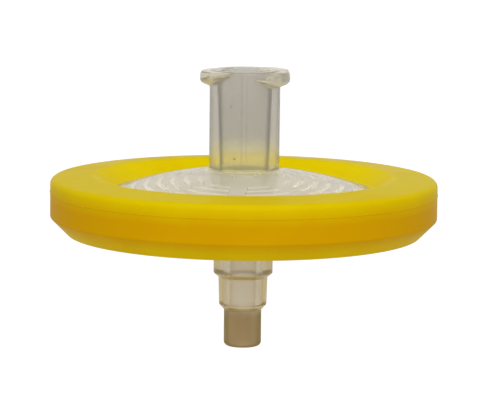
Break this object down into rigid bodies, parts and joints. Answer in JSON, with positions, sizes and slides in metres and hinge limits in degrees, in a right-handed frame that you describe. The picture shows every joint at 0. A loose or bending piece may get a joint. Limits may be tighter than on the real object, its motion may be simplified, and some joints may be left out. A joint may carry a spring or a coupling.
{
  "type": "syringe filter",
  "caption": "Disc filter for a syringe: a lug-thread inlet socket above, a membrane clamped between two domed halves in a moulded ring, and a stepped outlet spigot below.",
  "frame": {"origin": "centre of the inlet socket's mouth, in the plane of its rim", "axes": "+Z along the flow axis, out of the inlet socket; the outlet points along -Z; +X passes through one lug where its ramp starts"},
  "size_m": [0.0332, 0.0332, 0.0237],
  "materials": {
    "clear_housing": "translucent natural polypropylene, satin to semi-gloss",
    "membrane": "matt white microporous membrane",
    "amber_housing": "translucent polypropylene, satin, warmer and frosted at the tip",
    "ring": "opaque yellow moulded plastic, semi-gloss"
  },
  "bodies": {
    "root": {"inlet_housing": "clear_housing", "membrane": "membrane", "outlet_housing": "amber_housing", "overmould_ring": "ring"}
  },
  "joints": []
}
